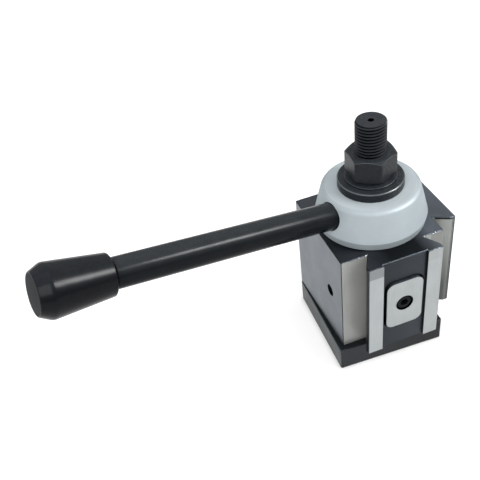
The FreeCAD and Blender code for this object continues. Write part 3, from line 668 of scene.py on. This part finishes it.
def blank_finish(colours):
    """Oxide on the T-nut blank: black on top and in front, paler on its left side, with painted shade
    making its downward faces black.
    """
    recipe, shader = new_finish("blank_milled", colours.blank, 0.6, 0.42)
    place, normal = recipe.places()
    across, _, _ = recipe.parts_of(place)
    lean_x, _, lean_z = recipe.parts_of(normal)
    marks = recipe.grain(place, (260.0, 260.0, 1700.0))
    clouds = recipe.grain(place, (110.0, 110.0, 110.0), 5.0)
    front_tone = recipe.blend(recipe.spread(across, -10.0 * MM, 28.0 * MM, 0.0, 1.0),
                              colours.black, lighter(colours.black, 0.3))
    tone = recipe.blend(recipe.under(lean_x, -0.7), front_tone, colours.blank)
    # Painted shade: faces that look down are black.
    tone = recipe.blend(recipe.under(lean_z, -0.3), tone, (0.0, 0.0, 0.0))
    tone = recipe.shade(recipe.shade(tone, clouds, 0.8, 1.25), marks, 0.9, 1.1)
    recipe.feed(tone, shader.inputs["Base Color"])
    recipe.feed(recipe.spread(clouds, 0.3, 0.7, 0.36, 0.5), shader.inputs["Roughness"])
    recipe.relief(shader, marks, 0.00002)


def black_finish(name, colour, film, roughness, gloss, stretch, turned=False, edge_highlight=None):
    """Black surface with a soft sheen and fine marks; painted light makes it paler where it looks up, and
    on request painted shade blackens thread roots and painted highlights pale its slanted faces.
    """
    recipe, shader = new_finish(name, colour, 0.0, roughness, gloss)
    place, normal = recipe.places()
    _, _, lean_z = recipe.parts_of(normal)
    marks_place = recipe.turned(place) if turned else place
    marks = recipe.grain(marks_place, stretch)
    clouds = recipe.grain(place, (120.0, 120.0, 120.0), 5.0)
    # Painted light: the surface turns paler as it looks up.
    tone = recipe.blend(recipe.spread(lean_z, 0.35, 0.95, 0.0, 1.0), colour, film)
    # Painted shade: thread roots and the centre mark inside this radius are black.
    if turned:
        root_shade_radius = 7.5 * MM
        radius, _, _ = recipe.parts_of(marks_place)
        root = recipe.both(recipe.under(radius, root_shade_radius), recipe.under(lean_z, 0.95))
        tone = recipe.blend(root, tone, (0.0, 0.0, 0.0))
    # Painted highlight: slanted faces take a paler tone.
    if edge_highlight:
        edge = recipe.both(recipe.over(lean_z, 0.3), recipe.under(lean_z, 0.85))
        tone = recipe.blend(edge, tone, edge_highlight)
    tone = recipe.shade(recipe.shade(tone, clouds, 0.9, 1.13), marks, 0.9, 1.1)
    recipe.feed(tone, shader.inputs["Base Color"])
    recipe.feed(recipe.spread(clouds, 0.3, 0.7, roughness - 0.02, roughness + 0.05),
                shader.inputs["Roughness"])
    recipe.relief(shader, marks, 0.000006)


def finish_named(name):
    """Finish that an earlier step made."""
    finish = bpy.data.materials.get(name)
    if finish is None:
        raise RuntimeError("no finish called " + name)
    return finish


def dress(node, finish):
    """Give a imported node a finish."""
    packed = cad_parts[node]
    if not packed.material_slots:
        packed.data.materials.append(finish)
    for entry in packed.material_slots:
        entry.link = "OBJECT"
        entry.material = finish


# Operators


class TOOLPOST_OT_finishes(Operator):
    """Mix every finish of the post"""

    bl_idname = "toolpost.finishes"
    bl_label = "Finishes"

    def execute(self, context):
        colours = context.scene.post_colours
        block_finish(colours)
        pad_finish(colours)
        blank_finish(colours)
        hub_finish(colours)
        steel_finish("inner_turned", colours.inner, 1.0, 0.35, (2400.0, 2400.0, 1.0), 0.00001, 0.08)
        # Each black finish takes its painted light colour second; black oxide also takes a painted edge
        # highlight.
        black_finish("black_oxide", colours.black, colours.film, 0.26, 0.12, (2200.0, 2200.0, 1.0), True,
                     colours.edge)
        black_finish("screw_black", colours.knob, colours.knob, 0.3, 0.06, (2200.0, 2200.0, 2200.0))
        black_finish("rod_black", colours.rod, colours.rod_top_painted_light, 0.2, 0.055, (1500.0, 1500.0, 1500.0))
        black_finish("knob_black", colours.knob, colours.knob_top_painted_light, 0.2, 0.1, (500.0, 500.0, 500.0))
        black_finish("knob_dull", colours.knob_end, colours.knob_end, 0.55, 0.05, (500.0, 500.0, 500.0))
        return {"FINISHED"}


class TOOLPOST_OT_block(Operator):
    """Finish the dovetail block and the T-nut blank"""

    bl_idname = "toolpost.block"
    bl_label = "Block and Blank"

    def execute(self, context):
        dress("post_block", finish_named("block_steel"))
        dress("tnut_blank", finish_named("blank_milled"))
        dress("cam_retaining_screw", finish_named("screw_black"))
        return {"FINISHED"}


class TOOLPOST_OT_cam(Operator):
    """Finish the cam, its bush and washer, the plungers and the follower pins"""

    bl_idname = "toolpost.cam"
    bl_label = "Cam and Plungers"

    def execute(self, context):
        inner = ["centre_bush", "cam_thrust_washer", "cam_sleeve"]
        for side in ("front", "side"):
            inner += [side + "_plunger", side + "_follower_pin"]
        for node in inner:
            dress(node, finish_named("inner_turned"))
        return {"FINISHED"}


class TOOLPOST_OT_stud(Operator):
    """Cut the clamping stud with its helical thread and centre mark"""

    bl_idname = "toolpost.stud"
    bl_label = "Stud"

    def execute(self, context):
        sizes = context.scene.post_thread
        top = STUD_BOX[1].z
        outer = STUD_BOX[1].x
        shape = threaded_bar(sizes, outer, top)
        make_piece(shape, "threaded_stud", "base", finish_named("black_oxide"),
                   stands_for=("stud",), crease=24.0)
        return {"FINISHED"}


def thread_radius(sizes, outer, phase):
    """Radius of the thread at a share of its pitch."""
    flank = (1.0 - sizes.crest - sizes.root) / 2
    if phase < sizes.crest:
        drop = 0.0
    elif phase < sizes.crest + flank:
        drop = (phase - sizes.crest) / flank
    elif phase < sizes.crest + flank + sizes.root:
        drop = 1.0
    else:
        drop = (1.0 - phase) / flank
    return outer - sizes.depth * drop


def thread_surface(sizes, outer, top):
    """Helical thread that runs past both of its ends, as an open surface."""
    shape = bmesh.new()
    flank = (1.0 - sizes.crest - sizes.root) / 2
    phases = [0.0, sizes.crest, sizes.crest + flank / 2, sizes.crest + flank,
              sizes.crest + flank + sizes.root, 1.0 - flank / 2]
    columns, step = sizes.segments, len(phases)
    rows = step * (int((top - sizes.start) / sizes.pitch) + 2)
    verts = []
    for column in range(columns):
        share = column / columns
        line = []
        for row in range(rows):
            turn, index = divmod(row, step)
            height = sizes.start + sizes.pitch * (turn + phases[index] + share - 1.0)
            ease = min(1.0, max(0.0, (height - sizes.start) / sizes.pitch))
            radius = outer - (outer - thread_radius(sizes, outer, phases[index])) * ease
            radius = min(radius, outer - sizes.bevel + max(0.0, top - height))
            line.append(shape.verts.new(around(radius, math.tau * share, height)))
        verts.append(line)
    for column in range(columns):
        last = column + 1 == columns
        after = verts[0][step:] if last else verts[column + 1]
        for row in range(len(after) - 1):
            shape.faces.new((verts[column][row], after[row], after[row + 1], verts[column][row + 1]))
    return shape


def threaded_bar(sizes, outer, top):
    """Bar with a thread from its start to its top and a plain shank below."""
    shape = thread_surface(sizes, outer, top)
    for height, way in ((top, 1), (sizes.start, -1)):
        everything = shape.verts[:] + shape.edges[:] + shape.faces[:]
        bmesh.ops.bisect_plane(shape, geom=everything, plane_co=(0, 0, height), plane_no=(0, 0, way),
                               clear_outer=True)
    near = 0.01 * MM
    rims = [edge for edge in shape.edges if edge.is_boundary]
    rim_top = [edge for edge in rims if edge.verts[0].co.z > top - near]
    rim_low = [edge for edge in rims if edge.verts[0].co.z < sizes.start + near]
    drill_slope, mark_columns = 0.58, 48
    mark = [(sizes.mark_radius, top), (sizes.mark_radius, top - sizes.mark_depth),
            (0.0, top - sizes.mark_depth - sizes.mark_radius * drill_slope)]
    join_lathe(shape, rim_top, mark, mark_columns)
    low = STUD_BOX[0].z
    shank = [(outer, sizes.start), (outer, low + sizes.bevel), (outer - sizes.bevel, low), (0.0, low)]
    join_lathe(shape, rim_low, shank, sizes.segments)
    bmesh.ops.recalc_face_normals(shape, faces=shape.faces)
    return shape


def join_lathe(shape, rim, profile, columns):
    """Bridge an open rim to the first ring of a lathe profile and skin the rest."""
    rows = [[shape.verts.new(point) for point in ring(radius, height, columns)]
            for radius, height in profile]
    first = []
    for index in range(columns):
        first.append(shape.edges.new((rows[0][index], rows[0][(index + 1) % columns])))
    bmesh.ops.bridge_loops(shape, edges=rim + first)
    for lower, upper in zip(rows, rows[1:]):
        skin(shape, lower, upper)


class TOOLPOST_OT_nut(Operator):
    """Make the hexagon nut with its beveled corners and washer face"""

    bl_idname = "toolpost.nut"
    bl_label = "Nut"

    def execute(self, context):
        sizes = context.scene.post_nut
        low, top = NUT_BOX[0].z, NUT_BOX[1].z
        sides, corner_steps, side_steps = 6, 6, 14
        _, touch = polygon_corner(sizes.flats, sides, sizes.corner_radius)
        angles = polygon_angles(sides, touch, corner_steps, side_steps)
        slope = math.tan(math.radians(30.0))
        hexagon_low = low + sizes.boss_height
        bevel = 0.15 * MM

        def round_loop(radius, height):
            return [around(radius, angle, height) for angle in angles]

        def hexagon_loop(inset, height, way):
            points = []
            for angle in angles:
                radius = polygon_radius(sizes.flats, sides, sizes.corner_radius, angle)
                drop = max(0.0, radius - sizes.slant_radius) * slope
                points.append(around(radius - inset, angle, height + way * drop))
            return points

        loops = [
            round_loop(sizes.bore, low + bevel),
            round_loop(sizes.bore + bevel, low),
            round_loop(sizes.boss_radius - bevel, low),
            round_loop(sizes.boss_radius, low + bevel),
            round_loop(sizes.boss_radius, hexagon_low),
            round_loop(sizes.slant_radius, hexagon_low),
            hexagon_loop(bevel / 2, hexagon_low - bevel / 3, 1),
            hexagon_loop(0.0, hexagon_low + bevel / 2, 1),
            hexagon_loop(0.0, top - bevel / 2, -1),
            hexagon_loop(bevel / 2, top + bevel / 3, -1),
            round_loop(sizes.slant_radius, top),
            round_loop(sizes.bore + sizes.mouth, top),
            round_loop(sizes.bore, top - sizes.mouth),
        ]
        make_piece(loft(loops, True), "hexagon_nut", "nut",
                   finish_named("black_oxide"), Matrix.Rotation(sizes.angle, 4, "Z"),
                   ("stud_nut",), 20.0)
        return {"FINISHED"}


class TOOLPOST_OT_washers(Operator):
    """Turn the thick collar and the thin washer under the nut"""

    bl_idname = "toolpost.washers"
    bl_label = "Collar and Washer"

    def execute(self, context):
        bore = STUD_BOX[1].x + 0.5 * MM
        lift = 0.01 * MM
        rounding = 0.12 * MM
        rings = (("clamp_collar", COLLAR_BOX, "post", "top_collar", 0.5 * MM),
                 ("thin_washer", WASHER_BOX, "washer", "nut_washer", rounding))
        for name, box, body, node, bevel in rings:
            low, top, outer = box[0].z + lift, box[1].z, box[1].x
            profile = [(bore, low), (outer, low), (outer, top - bevel), (outer - bevel, top), (bore, top)]
            shape = lathe(soften(profile, rounding, 3, True), 160, True)
            make_piece(shape, name, body, finish_named("black_oxide"),
                       stands_for=(node,))
        return {"FINISHED"}


class TOOLPOST_OT_handle(Operator):
    """Turn the handle rod and its tapered knob"""

    bl_idname = "toolpost.handle"
    bl_label = "Handle"

    def execute(self, context):
        sizes = context.scene.post_handle
        place = handle_place(sizes)
        start, end = sizes.knob_start, sizes.knob_start + sizes.knob_length
        joint = start - sizes.joint_wide
        rounding = 0.2 * MM
        joint_radius = sizes.rod_radius - sizes.joint_deep
        tail, tail_end = sizes.tail_radius, start + sizes.tail_length
        rod = [(0.0, sizes.spigot_tip), (sizes.spigot_radius, sizes.spigot_tip),
               (sizes.spigot_radius, sizes.rod_seat), (sizes.rod_radius, sizes.rod_seat),
               (sizes.rod_radius, joint), (joint_radius, joint), (joint_radius, start),
               (tail, start), (tail, tail_end), (0.0, tail_end)]
        bar = make_piece(lathe(soften(rod, rounding, 3), 96), "turned_rod", "cam",
                         finish_named("rod_black"), place, ("handle_rod",))
        bar.data.materials.append(finish_named("screw_black"))
        inward = place.inverted()
        for face in bar.data.polygons:
            if (inward @ face.center).z > joint:
                face.material_index = 1
        neck = [(tail, start), (sizes.knob_small, start)]
        taper = [(sizes.knob_large, end - sizes.knob_slant),
                 (sizes.knob_large - sizes.knob_slant_depth, end)]
        bottom = tail_end + sizes.tail_gap
        inside = [(0.0, end), (0.0, bottom), (tail, bottom)]
        roundings = [0.0, sizes.knob_rim, sizes.knob_round, sizes.knob_rim, 0.0]
        outline = soften(neck + taper + inside[:1], roundings, 8)
        profile = outline + inside[1:] + [neck[0]]
        knob = make_piece(lathe(profile, 112), "tapered_knob", "cam",
                          finish_named("knob_black"), place, ("handle_knob",))
        knob.data.materials.append(finish_named("knob_dull"))
        outward = place.to_3x3() @ Vector((0.0, 0.0, 1.0))
        for face in knob.data.polygons:
            if face.normal.dot(outward) > 0.99:
                face.material_index = 1
        return {"FINISHED"}


class TOOLPOST_OT_hub(Operator):
    """Finish the hub"""

    bl_idname = "toolpost.hub"
    bl_label = "Hub"

    def execute(self, context):
        dress("handle_hub", finish_named("hub_satin"))
        return {"FINISHED"}


class TOOLPOST_OT_pistons(Operator):
    """Make both piston pads and their socket cap screws"""

    bl_idname = "toolpost.pistons"
    bl_label = "Pistons"

    def execute(self, context):
        sizes = context.scene.post_pads
        front = -FRONT_PAD_BOX[0].y
        thick = FRONT_PAD_BOX[1].y - FRONT_PAD_BOX[0].y
        half_wide = FRONT_PAD_BOX[1].x
        half_tall = (FRONT_PAD_BOX[1].z - FRONT_PAD_BOX[0].z) / 2
        level = (FRONT_PAD_BOX[1].z + FRONT_PAD_BOX[0].z) / 2
        for side, turn in (("front", 0.0), ("side", math.pi / 2)):
            place = (Matrix.Translation((0.0, 0.0, level)) @ Matrix.Rotation(turn, 4, "Z")
                     @ Matrix.Rotation(math.pi / 2, 4, "X"))
            pad = pad_shape(sizes, half_wide, half_tall, front, thick)
            make_piece(pad, side + "_ground_pad", side + "_piston",
                       finish_named("pad_ground"), place, (side + "_pad",))
            screw = screw_shape(sizes, front - sizes.seat_depth)
            make_piece(screw, side + "_cap_screw", side + "_piston",
                       finish_named("screw_black"), place, (side + "_pad_screw",))
        return {"FINISHED"}


def pad_shape(sizes, half_wide, half_tall, front, thick):
    """Rounded rectangle with a counterbored hole, facing +Z."""
    arc_steps, side_steps = 12, 24
    signs = ((1, 1), (-1, 1), (-1, -1), (1, -1))
    flat_wide, flat_tall = half_wide - sizes.corner, half_tall - sizes.corner

    def on_corner(quarter, share, inset, height):
        sign_x, sign_y = signs[quarter % 4]
        angle = math.pi / 2 * (quarter + share)
        corner = sizes.corner - inset
        return Vector((sign_x * flat_wide + corner * math.cos(angle),
                       sign_y * flat_tall + corner * math.sin(angle), height))

    def outline(inset, height):
        points = []
        for quarter in range(4):
            for step in range(arc_steps + 1):
                points.append(on_corner(quarter, step / arc_steps, inset, height))
            end, start = points[-1], on_corner(quarter + 1, 0.0, inset, height)
            points += [end.lerp(start, step / side_steps) for step in range(1, side_steps)]
        return points

    def hole(radius, height):
        angles = [math.atan2(point.y, point.x) for point in outline(0.0, height)]
        return [around(radius, angle, height) for angle in angles]

    back = front - thick
    floor = front - sizes.seat_depth
    bevel = sizes.bevel
    loops = [
        hole(sizes.hole_radius, back), outline(bevel, back), outline(0.0, back + bevel),
        outline(0.0, front - bevel), outline(bevel * 0.3, front - bevel * 0.3), outline(bevel, front),
        hole(sizes.seat_radius + bevel, front), hole(sizes.seat_radius, front - bevel),
        hole(sizes.seat_radius, floor), hole(sizes.hole_radius, floor),
    ]
    return loft(loops, True)


def screw_shape(sizes, seat):
    """Cap screw with a knurled head and a hexagon socket, facing +Z."""
    columns = 144
    top = seat + sizes.head_height
    knurl, socket_corner = 0.12 * MM, 0.1 * MM
    tip, round_low, round_high = 0.5 * MM, 0.2 * MM, 0.6 * MM
    crown_side, crown_drop = 0.15 * MM, 0.35 * MM

    def knurled(radius, height):
        points = []
        for step in range(columns):
            depth = knurl if step % 4 > 1 else 0.0
            points.append(around(radius - depth, math.tau * step / columns, height))
        return points

    def socket(height, grow=0.0):
        points = []
        for step in range(columns):
            angle = math.tau * step / columns
            radius = polygon_radius(sizes.socket + 2 * grow, 6, socket_corner, angle)
            points.append(around(radius, angle, height))
        return points

    head, shank = sizes.head_radius, sizes.shank_radius
    loops = [
        ring(0.0, seat - sizes.shank_length, columns),
        ring(shank - tip, seat - sizes.shank_length, columns),
        ring(shank, seat - sizes.shank_length + tip, columns),
        ring(shank, seat, columns),
        ring(head - round_low, seat, columns), knurled(head, seat + round_low),
        knurled(head, top - round_high), ring(head - crown_side, top - crown_drop, columns),
        ring(head - tip, top, columns),
        socket(top, round_low), socket(top - round_low), socket(top - sizes.socket_depth),
        ring(0.0, top - sizes.socket_depth - round_high, columns),
    ]
    return loft(loops)


class TOOLPOST_OT_stage(Operator):
    """Set up the pale floor, the lamps, the sky and the camera"""

    bl_idname = "toolpost.stage"
    bl_label = "Stage"

    def execute(self, context):
        setup = context.scene.post_studio
        make_floor(setup)
        make_sky(context.scene, setup)
        near, far = Vector(setup.key_near), Vector(setup.key_far)
        middle, span = (near + far) / 2, far - near
        make_lamp("key_lamp", middle, span, setup.key_width, setup.key, setup.aim)
        glint = make_lamp("glint_lamp", middle, span, setup.key_width, setup.glint, setup.aim)
        glint.visible_diffuse = False
        make_lamp("fill_lamp", Vector(setup.fill_place), Vector((setup.fill_size, 0.0, 0.0)),
                  setup.fill_size, setup.fill, setup.aim)
        camera = bpy.data.objects.new("photo_camera", bpy.data.cameras.new("photo_camera"))
        camera.data.lens = setup.lens
        camera.data.sensor_width = setup.film
        camera.data.clip_start = setup.near_limit
        camera.location = setup.eye
        camera.rotation_euler = setup.turn
        context.scene.collection.objects.link(camera)
        context.scene.camera = camera
        context.scene.view_settings.view_transform = "Standard"
        return {"FINISHED"}


def make_floor(setup):
    """Pale floor under the post."""
    shape = bmesh.new()
    bmesh.ops.create_grid(shape, x_segments=1, y_segments=1, size=setup.floor_half)
    mesh = bpy.data.meshes.new("pale_floor")
    shape.to_mesh(mesh)
    shape.free()
    floor_finish(setup)
    mesh.materials.append(finish_named("floor_pale"))
    floor = bpy.data.objects.new("pale_floor", mesh)
    floor.location.z = CAD_BOX[0][2] - setup.floor_drop
    bpy.context.scene.collection.objects.link(floor)


def floor_finish(setup):
    """Matt white that glows a little where it is seen and keeps the post's soft shadow."""
    recipe, shader = new_finish("floor_pale", setup.floor, 0.0, 0.9, 0.0)
    path = recipe.nodes.new("ShaderNodeLightPath")
    seen = recipe.reckon("MAXIMUM", path.outputs["Is Camera Ray"], path.outputs["Is Glossy Ray"])
    seen = recipe.reckon("MAXIMUM", seen, path.outputs["Is Transmission Ray"])
    contact = recipe.nodes.new("ShaderNodeAmbientOcclusion")
    contact.inputs["Distance"].default_value = setup.contact
    level = recipe.both(seen, contact.outputs["AO"], setup.floor_glow)
    glow = recipe.nodes.new("ShaderNodeEmission")
    glow.inputs["Color"].default_value = (1.0, 1.0, 1.0, 1.0)
    recipe.feed(level, glow.inputs["Strength"])
    total = recipe.nodes.new("ShaderNodeAddShader")
    recipe.feed(shader.outputs[0], total.inputs[0])
    recipe.feed(glow.outputs[0], total.inputs[1])
    recipe.feed(total.outputs[0], recipe.nodes["Material Output"].inputs["Surface"])


def make_sky(scene, setup):
    """Soft light from above that falls off towards the horizon."""
    world = bpy.data.worlds.new("studio_sky")
    world.use_nodes = True
    background = world.node_tree.nodes["Background"]
    background.inputs["Color"].default_value = (1.0, 1.0, 1.0, 1.0)
    recipe = Recipe(world.node_tree)
    direction, _ = recipe.places()
    _, _, up = recipe.parts_of(direction)
    level = recipe.spread(up, 0.0, 0.8, setup.sky_low, setup.sky)
    recipe.feed(level, background.inputs["Strength"])
    scene.world = world


def make_lamp(name, place, span, width, power, aim):
    """Rectangular soft lamp along a span, aimed at a height on the stud's axis."""
    lamp = bpy.data.lights.new(name, "AREA")
    lamp.shape = "RECTANGLE"
    lamp.size = span.length
    lamp.size_y = width
    lamp.energy = power
    holder = bpy.data.objects.new(name, lamp)
    back = (place - Vector((0.0, 0.0, aim))).normalized()
    along = (span - back * span.dot(back)).normalized()
    upward = back.cross(along)
    holder.matrix_world = Matrix.Translation(place) @ Matrix((along, upward, back)).transposed().to_4x4()
    bpy.context.scene.collection.objects.link(holder)
    return holder


class TOOLPOST_PT_panel(Panel):
    """Steps that build the tool post, in order"""

    bl_label = "Tool Post"
    bl_idname = "TOOLPOST_PT_panel"
    bl_space_type = "VIEW_3D"
    bl_region_type = "UI"
    bl_category = "Tool Post"

    def draw(self, context):
        column = self.layout.column()
        for step in STEPS:
            column.operator(step.bl_idname)
        for group in SETTINGS:
            column.label(text=group)
            settings = getattr(context.scene, group)
            for name in settings.__annotations__:
                column.prop(settings, name)


STEPS = (
    TOOLPOST_OT_finishes,
    TOOLPOST_OT_block,
    TOOLPOST_OT_cam,
    TOOLPOST_OT_stud,
    TOOLPOST_OT_nut,
    TOOLPOST_OT_washers,
    TOOLPOST_OT_hub,
    TOOLPOST_OT_handle,
    TOOLPOST_OT_pistons,
    TOOLPOST_OT_stage,
)
SETTINGS = {
    "post_thread": ThreadSizes,
    "post_nut": NutSizes,
    "post_handle": HandleSizes,
    "post_pads": PadSizes,
    "post_colours": FinishColours,
    "post_studio": StudioSetup,
}


def register():
    for group, settings in SETTINGS.items():
        bpy.utils.register_class(settings)
        setattr(bpy.types.Scene, group, PointerProperty(type=settings))
    for step in STEPS:
        bpy.utils.register_class(step)
    bpy.utils.register_class(TOOLPOST_PT_panel)


def unregister():
    bpy.utils.unregister_class(TOOLPOST_PT_panel)
    for step in reversed(STEPS):
        bpy.utils.unregister_class(step)
    for group, settings in SETTINGS.items():
        delattr(bpy.types.Scene, group)
        bpy.utils.unregister_class(settings)


def main():
    register()
    for step in STEPS:
        package, action = step.bl_idname.split(".")
        getattr(getattr(bpy.ops, package), action)()


if __name__ == "__main__":
    main()
